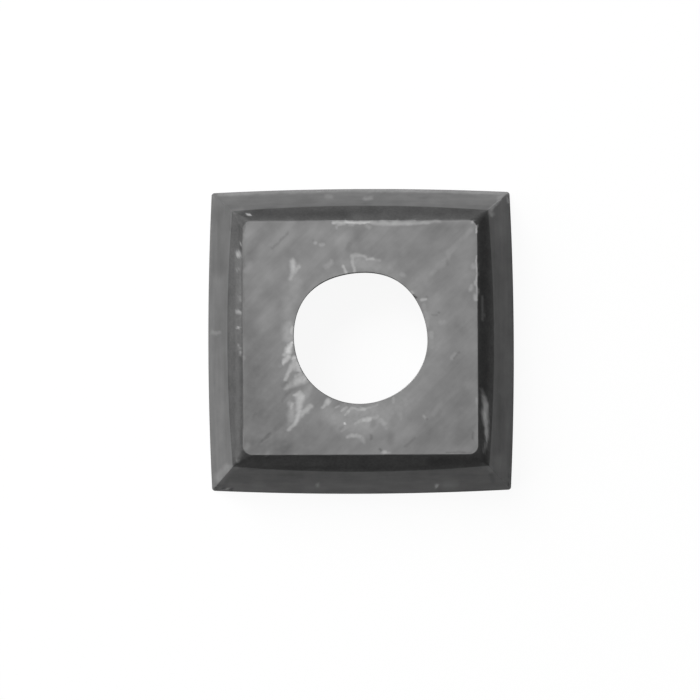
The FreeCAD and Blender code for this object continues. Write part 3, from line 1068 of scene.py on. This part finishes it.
    (0.34, (-5.81, 4.6, 0.04), (-5.81, 4.57, 0.04)),
    (0.13, (-5.86, 2.06, 0.06), (-5.88, 1.9, 0.06)),
    (0.24, (-5.98, 1.29, 0.1), (-5.91, 1.25, 0.1)),
    (0.32, (-6.01, 0.5, 0.06), (-5.9, 0.48, 0.06)),
    (0.22, (-5.95, -0.3, 0.05), (-5.93, -0.39, 0.05)),
    (0.32, (-5.87, -0.49, 0.04), (-5.89, -0.81, 0.04)),
    (0.14, (-5.66, -0.91, 0.05), (-5.66, -1.02, 0.05)),
    (0.14, (-6.0, -5.97, 0.07), (-5.99, -5.95, 0.07)),
    (0.03, (-6.3, 5.21, 0.15), (-6.29, -5.69, 0.15)),
    (0.05, (-6.02, 4.25, 0.12), (-6.01, -5.72, 0.13)),
    (0.03, (-6.23, 5.62, 0.12), (-6.17, 6.16, 0.12)),
    (0.05, (-6.18, 6.2, 0.15), (-5.83, 6.33, 0.11)),
    # top shoulder: a painted glint
    (0.53, (-5.59, 6.1, 0.03), (-5.46, 6.05, 0.04), (-5.33, 6.0, 0.03)),
    # right shoulder: a painted glint
    (0.20, (5.89, -2.51, 0.04), (5.98, -2.87, 0.08)),
    (0.43, (5.98, -2.87, 0.09), (6.07, -3.28, 0.11)),
    (0.61, (6.07, -3.28, 0.11), (6.07, -3.79, 0.13), (6.09, -4.28, 0.11)),
    (1.00, (6.06, -3.81, 0.04), (6.06, -3.9, 0.04)),
    (0.52, (6.09, -4.28, 0.1), (6.12, -4.74, 0.07), (6.13, -5.07, 0.05)),
    (0.22, (6.13, -5.07, 0.05), (6.06, -5.36, 0.05), (5.99, -5.59, 0.05)),
    (0.20, (5.91, 2.0, 0.04), (5.98, 1.57, 0.06), (5.96, 0.87, 0.05)),
    # bottom shoulder: faint painted light
    (0.02, (-5.27, -5.92, 0.24), (-1.98, -5.93, 0.24)),
    (0.06, (-6.19, -6.26, 0.07), (-6.04, -6.28, 0.07)),
    # flanks: a few nicks and chips, pale patches, painted glints, a painted highlight along the
    # upper cutting edge and painted light by the lower left mitre
    (0.34, (6.39, 6.3, 0.07), (6.53, 6.49, 0.06), (6.71, 6.71, 0.05), (6.88, 6.87, 0.03)),
    (0.17, (6.78, 6.96, 0.1), (7.05, 7.16, 0.07)),
    (0.03, (-6.3, -6.98, 0.15), (-5.99, -7.07, 0.15)),
    (0.03, (-5.19, -7.03, 0.15), (-4.87, -7.08, 0.15)),
    (0.08, (6.29, -6.37, 0.1), (6.36, -6.44, 0.09)),
    (0.035, (-6.79, -3.53, 0.34), (-6.82, -6.35, 0.29)),
    (0.03, (0.8, 6.95, 0.24), (2.05, 6.95, 0.24)),
    (0.04, (3.62, 6.88, 0.29), (6.47, 6.8, 0.29)),
    (0.12, (-7.33, 0.42, 0.07), (-6.89, 0.36, 0.07)),
    (0.18, (-6.91, -6.68, 0.24), (-6.56, -6.29, 0.2)),
    (0.24, (6.38, 6.19, 0.09), (6.43, 6.09, 0.1)),
    (0.32, (7.24, 7.0, 0.04), (7.27, 6.79, 0.04)),
    (0.15, (0.27, 6.94, 0.11), (0.54, 6.95, 0.11)),
    (0.10, (-1.64, 7.08, 0.11), (-1.44, 7.07, 0.11)),
    (0.17, (-6.88, 7.29, 0.13), (-3.94, 7.43, 0.13), (-0.05, 7.48, 0.13)),
    (0.20, (-0.05, 7.48, 0.13), (3.88, 7.4, 0.13), (7.2, 7.26, 0.13)),
    (0.22, (-2.16, -7.07, 0.07), (-2.15, -7.08, 0.07)),
    (0.39, (3.66, -7.14, 0.07), (3.69, -7.13, 0.07)),
    (0.06, (4.14, -7.11, 0.2), (4.57, -7.07, 0.2)),
    (0.32, (-6.64, -7.26, 0.04), (-6.54, -7.22, 0.04)),
    (0.03, (6.82, 6.14, 0.29), (6.82, 5.1, 0.29)),
]
darker_strokes = [
    # scratches and dark spots
    (0.24, (-3.53, 5.1, 0.05), (-4.29, 4.38, 0.05)),
    (0.15, (-4.78, 5.11, 0.2), (-5.14, 4.58, 0.2), (-5.41, 4.22, 0.15)),
    (0.12, (-3.44, 4.15, 0.2), (-3.21, 3.91, 0.2)),
    (0.19, (-2.31, 4.76, 0.05), (-2.3, 4.75, 0.05)),
    (0.19, (-0.49, 4.6, 0.1), (-0.59, 4.28, 0.11)),
    (0.04, (-0.69, 4.14, 0.1), (-0.73, 3.89, 0.08)),
    (0.14, (1.77, 4.39, 0.22), (1.77, 4.0, 0.22)),
    (0.13, (5.05, 5.28, 0.15), (4.49, 4.74, 0.17), (3.95, 4.22, 0.13)),
    (0.07, (3.95, 4.29, 0.24), (3.02, 3.5, 0.29)),
    (0.09, (3.71, 4.44, 0.12), (3.26, 3.95, 0.15), (2.88, 3.59, 0.15)),
    (0.13, (4.24, 3.71, 0.06), (4.24, 3.58, 0.06)),
    (0.08, (3.94, 5.37, 0.15), (5.17, 5.39, 0.15)),
    (0.04, (5.44, 2.94, 0.07), (5.59, 2.96, 0.06)),
    (1.00, (2.58, 2.03, 0.06), (2.71, 1.95, 0.06)),
    (0.19, (3.22, 1.98, 0.06), (3.24, 1.96, 0.06)),
    (0.21, (3.49, 1.11, 0.05), (3.73, 1.07, 0.06)),
    (0.27, (3.81, 1.21, 0.05), (3.86, 1.19, 0.05)),
    (0.12, (4.65, 0.55, 0.12), (5.03, 0.29, 0.15)),
    (0.24, (4.51, -1.06, 0.04), (4.68, -0.88, 0.05)),
    (0.32, (4.75, -0.76, 0.05), (4.8, -0.73, 0.05)),
    (0.06, (4.37, -2.03, 0.2), (4.01, -2.29, 0.17)),
    (0.11, (4.92, -2.48, 0.17), (4.99, -2.77, 0.15)),
    (0.08, (3.9, -3.61, 0.11), (3.79, -3.82, 0.11)),
    (0.26, (3.22, -4.02, 0.05), (3.23, -4.03, 0.05)),
    (0.22, (2.61, -4.96, 0.06), (2.41, -5.14, 0.07), (2.16, -5.3, 0.07)),
    (0.16, (1.67, -3.87, 0.13), (1.53, -4.2, 0.13)),
    (0.21, (1.49, -4.81, 0.15), (1.47, -5.1, 0.17)),
    (0.31, (0.48, -4.76, 0.06), (0.48, -4.92, 0.06)),
    (0.23, (0.63, -4.11, 0.12), (0.62, -4.27, 0.12)),
    (0.16, (-0.95, -4.46, 0.08), (-0.87, -4.38, 0.08)),
    (0.40, (0.97, -5.45, 0.05), (1.01, -5.55, 0.04)),
    (0.34, (5.44, -4.68, 0.06), (5.48, -4.97, 0.07)),
    (0.31, (4.11, -5.64, 0.03), (5.36, -5.6, 0.04)),
    (0.25, (-3.73, -5.57, 0.03), (-3.1, -5.58, 0.04)),
    (0.24, (-3.85, -3.09, 0.09), (-3.69, -2.89, 0.08), (-3.44, -2.66, 0.08)),
    (0.27, (-3.83, -2.32, 0.08), (-3.58, -2.19, 0.08)),
    (0.12, (-3.12, -2.47, 0.06), (-3.45, -2.61, 0.08)),
    (0.36, (-5.13, -3.67, 0.15), (-5.26, -3.95, 0.15)),
    (0.54, (-4.42, -4.71, 0.11), (-4.8, -5.02, 0.1)),
    (0.32, (-3.92, -4.29, 0.2), (-4.16, -4.46, 0.15)),
    (0.26, (-5.29, -0.1, 0.59), (-4.81, -4.19, 1.22), (-2.2, -5.41, 0.49)),
    (0.38, (-5.39, -5.26, 0.59), (-3.71, -5.28, 0.54)),
    (0.10, (4.93, -3.46, 0.64), (5.13, -5.04, 0.59)),
    # painted shade on the seat's edge towards the left
    (0.24, (-5.72, 4.98, 0.06), (-5.73, -0.6, 0.06)),
    (0.36, (-5.73, -0.6, 0.06), (-5.77, -5.58, 0.06)),
    (0.47, (-5.7, 5.19, 0.06), (-5.59, 5.55, 0.06)),
    (0.18, (-5.59, 5.55, 0.06), (-5.33, 5.75, 0.06)),
    # left shoulder: painted shade along the foot of the seat and at the upper left corner
    (0.50, (-5.84, 4.47, 0.04), (-5.82, 4.29, 0.04)),
    (0.45, (-5.81, 1.78, 0.04), (-5.83, 1.33, 0.04)),
    (0.30, (-5.84, 5.47, 0.07), (-5.85, 4.46, 0.07)),
    (0.35, (-6.14, 6.12, 0.08), (-5.9, 5.87, 0.11), (-5.68, 5.6, 0.09)),
    (0.20, (-6.31, 6.17, 0.07), (-6.35, 5.32, 0.07)),
    # top shoulder: painted shade
    (0.45, (-5.57, 5.99, 0.03), (-5.37, 5.88, 0.03)),
    (0.12, (-5.6, 5.83, 0.05), (-4.15, 5.86, 0.05)),
    (0.30, (-4.97, 6.11, 0.24), (-0.75, 6.06, 0.24)),
    (0.12, (-0.75, 6.19, 0.17), (5.46, 6.18, 0.17)),
    # right shoulder: painted shade
    (0.40, (6.07, -5.58, 0.15), (6.0, -5.99, 0.15)),
    (0.40, (6.06, 5.65, 0.24), (6.01, -2.49, 0.24)),
    # bottom shoulder and the top of the bottom flank: painted shade
    (0.30, (-5.42, -6.32, 0.1), (5.8, -6.35, 0.1)),
    (0.30, (3.47, -6.09, 0.24), (5.71, -6.09, 0.24)),
    (0.24, (-6.61, -6.7, 0.34), (-3.0, -6.71, 0.29)),
    (0.15, (-3.0, -6.71, 0.29), (6.8, -6.76, 0.29)),
    (0.28, (-6.94, -7.03, 0.15), (-6.63, -6.9, 0.24)),
    # flanks: dark spots at the lower corners, a darker stretch high on the left, painted shade
    # over the upper left mitre and down the right flank
    (0.34, (6.33, -6.66, 0.13), (6.45, -6.9, 0.15)),
    (0.50, (7.23, -6.62, 0.04), (7.22, -6.79, 0.04)),
    (0.75, (7.18, -7.06, 0.05), (7.18, -7.13, 0.05)),
    (0.18, (-6.99, 6.24, 0.39), (-6.94, 3.58, 0.39)),
    (0.14, (-7.24, 7.24, 0.04), (-6.32, 6.25, 0.04)),
    (0.75, (-6.8, -7.19, 0.04), (-6.68, -7.22, 0.04)),
    (0.60, (-6.49, -7.24, 0.04), (-6.36, -7.26, 0.04)),
    (0.80, (-7.2, -7.2, 0.04), (-7.09, -7.25, 0.04)),
    (0.30, (-6.72, -6.99, 0.06), (-6.71, -7.1, 0.06)),
    (0.13, (6.83, 4.88, 0.29), (6.81, -0.05, 0.29)),
    (0.22, (6.75, -0.06, 0.29), (6.71, -5.43, 0.29)),
]
for kind, strokes in (("scuff", lighter_strokes), ("stain", darker_strokes)):
    for strength, *points in strokes:
        for (x0, y0, width0), (x1, y1, width1) in zip(points, points[1:]):
            add_modifier(
                insert,
                mark_tree,
                kind=kind,
                start=(x0, y0, 0.0),
                end=(x1, y1, 0.0),
                start_width=width0,
                end_width=width1,
                strength=strength,
                depth=MARK_DEPTH,
            )

# What the trees made becomes a plain mesh in metres, without the empty material slot that
# it began with and the attributes that only the trees needed.
made_mesh = bpy.data.meshes.new_from_object(
    insert.evaluated_get(bpy.context.evaluated_depsgraph_get())
)
made_mesh.materials.pop(index=0)
for helper in ("swell", "mark_place", "mark_hold"):
    made_mesh.attributes.remove(made_mesh.attributes[helper])
insert.modifiers.clear()
insert.data = made_mesh
insert.data.transform(Matrix.Scale(MM, 4))
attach(insert, "root")
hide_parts("knife_insert")


# The insert lies on a sheet of plain white card, uncoated and matt. The camera and the
# metal are shown part of it as plain white, as a product picture's ground is, and the rest
# takes light and shadow. It lies a hair below the rake face, so that the two stay apart.
FLOOR_REACH = 1.5
FLOOR_LEVEL = -0.01 * MM
CARD_SEEN_WHITE = 0.92
CARD_GLOSSY_WHITE = 0.36
floor_mesh = bpy.data.meshes.new("floor")
floor_mesh.from_pydata(
    [
        (x * FLOOR_REACH, y * FLOOR_REACH, FLOOR_LEVEL)
        for x, y in ((-1, -1), (1, -1), (1, 1), (-1, 1))
    ],
    [],
    [(0, 1, 2, 3)],
)
floor = bpy.data.objects.new("floor", floor_mesh)
bpy.context.scene.collection.objects.link(floor)
card = bpy.data.materials.new("white_card")
card.use_nodes = True
card.node_tree.nodes.clear()


def add_white_share(tree, seen_share, glossy_share):
    """How much plain white a ray is shown: the camera's and transmitted rays, then glossy ones."""
    paths = tree.nodes.new("ShaderNodeLightPath").outputs
    seen = add_node(
        tree,
        "ShaderNodeMath",
        {0: paths["Is Camera Ray"], 1: paths["Is Transmission Ray"]},
        operation="MAXIMUM",
    )
    seen = add_node(tree, "ShaderNodeMath", {0: seen, 1: seen_share}, operation="MULTIPLY")
    return add_node(
        tree,
        "ShaderNodeMath",
        {0: paths["Is Glossy Ray"], 1: glossy_share, 2: seen},
        operation="MULTIPLY_ADD",
    )


white_share = add_white_share(card.node_tree, CARD_SEEN_WHITE, CARD_GLOSSY_WHITE)
paper = add_node(card.node_tree, "ShaderNodeBsdfDiffuse", {"Color": linear("#f0f0f0")})
glow = add_node(
    card.node_tree, "ShaderNodeEmission", {"Color": (1.0, 1.0, 1.0, 1.0), "Strength": 1.0}
)
mixed = add_node(card.node_tree, "ShaderNodeMixShader", {0: white_share, 1: paper, 2: glow})
add_node(card.node_tree, "ShaderNodeOutputMaterial", {"Surface": mixed})
floor.data.materials.append(card)


# The room is a plain pale studio, which sheds only a weak light of its own. Its backdrop is
# white paper to the camera, and the metal sees little of that white.
ROOM_LIGHT = 0.05
ROOM_SEEN_WHITE = 1.0
ROOM_GLOSSY_WHITE = 0.05
world = bpy.data.worlds.new("studio")
bpy.context.scene.world = world
world.use_nodes = True
world.node_tree.nodes.clear()
room = add_node(
    world.node_tree,
    "ShaderNodeBackground",
    {"Color": linear("#c8c8c8"), "Strength": ROOM_LIGHT},
)
backdrop = add_node(
    world.node_tree, "ShaderNodeBackground", {"Color": (1.0, 1.0, 1.0, 1.0), "Strength": 1.0}
)
white_share = add_white_share(world.node_tree, ROOM_SEEN_WHITE, ROOM_GLOSSY_WHITE)
mixed = add_node(
    world.node_tree, "ShaderNodeMixShader", {0: white_share, 1: room, 2: backdrop}
)
add_node(world.node_tree, "ShaderNodeOutputWorld", {"Surface": mixed})


# Four softboxes, lamps behind square white cloth, stand half a metre from the insert. The
# key light comes from the upper left, and the others fill in. Each is given by its compass
# direction and height in degrees, the side of its cloth in metres and its power in watts.
LAMP_DISTANCE = 0.5
for name, azimuth, elevation, cloth_side, power in (
    ("key_softbox", 131.0, 35.0, 0.3, 3.75),
    ("side_softbox", 180.0, 30.0, 0.3, 1.05),
    ("overhead_softbox", 0.0, 90.0, 0.4, 0.44),
    ("fill_softbox", 0.0, 30.0, 0.3, 0.14),
):
    lamp = bpy.data.lights.new(name, "AREA")
    lamp.shape = "SQUARE"
    lamp.size = cloth_side
    lamp.energy = power
    bearing, climb = math.radians(azimuth), math.radians(elevation)
    towards = Vector(
        (math.cos(climb) * math.cos(bearing), math.cos(climb) * math.sin(bearing), math.sin(climb))
    )
    softbox = bpy.data.objects.new(name, lamp)
    softbox.location = towards * LAMP_DISTANCE
    softbox.rotation_euler = towards.to_track_quat("Z", "Y").to_euler()
    bpy.context.scene.collection.objects.link(softbox)


# The camera looks almost straight down on the seat, from a little towards the viewer and
# to the right, and is turned a touch about its own axis. Its lens is long, so the insert
# is hardly drawn in towards the back.
camera_distance = 0.300
tilt_towards_viewer = math.radians(3.95)
tilt_to_right = math.radians(0.75)
roll = math.radians(0.19)
aim = Vector((-0.543, -0.433, 0.0)) * MM
back = Vector((math.sin(tilt_to_right), -math.sin(tilt_towards_viewer), 0.0))
back.z = math.sqrt(1 - back.length_squared)
camera_data = bpy.data.cameras.new("camera")
camera_data.sensor_width = 36.0
camera_data.lens = 314.3
camera_data.clip_start = 0.01
camera_data.clip_end = 10.0
camera = bpy.data.objects.new("camera", camera_data)
bpy.context.scene.collection.objects.link(camera)
right = Vector((math.sin(roll), math.cos(roll), 0.0)).cross(back).normalized()
above = back.cross(right)
camera.matrix_world = Matrix.Translation(aim + back * camera_distance) @ Matrix(
    (right, above, back)
).transposed().to_4x4()
bpy.context.scene.camera = camera
bpy.context.scene.view_settings.view_transform = "Standard"
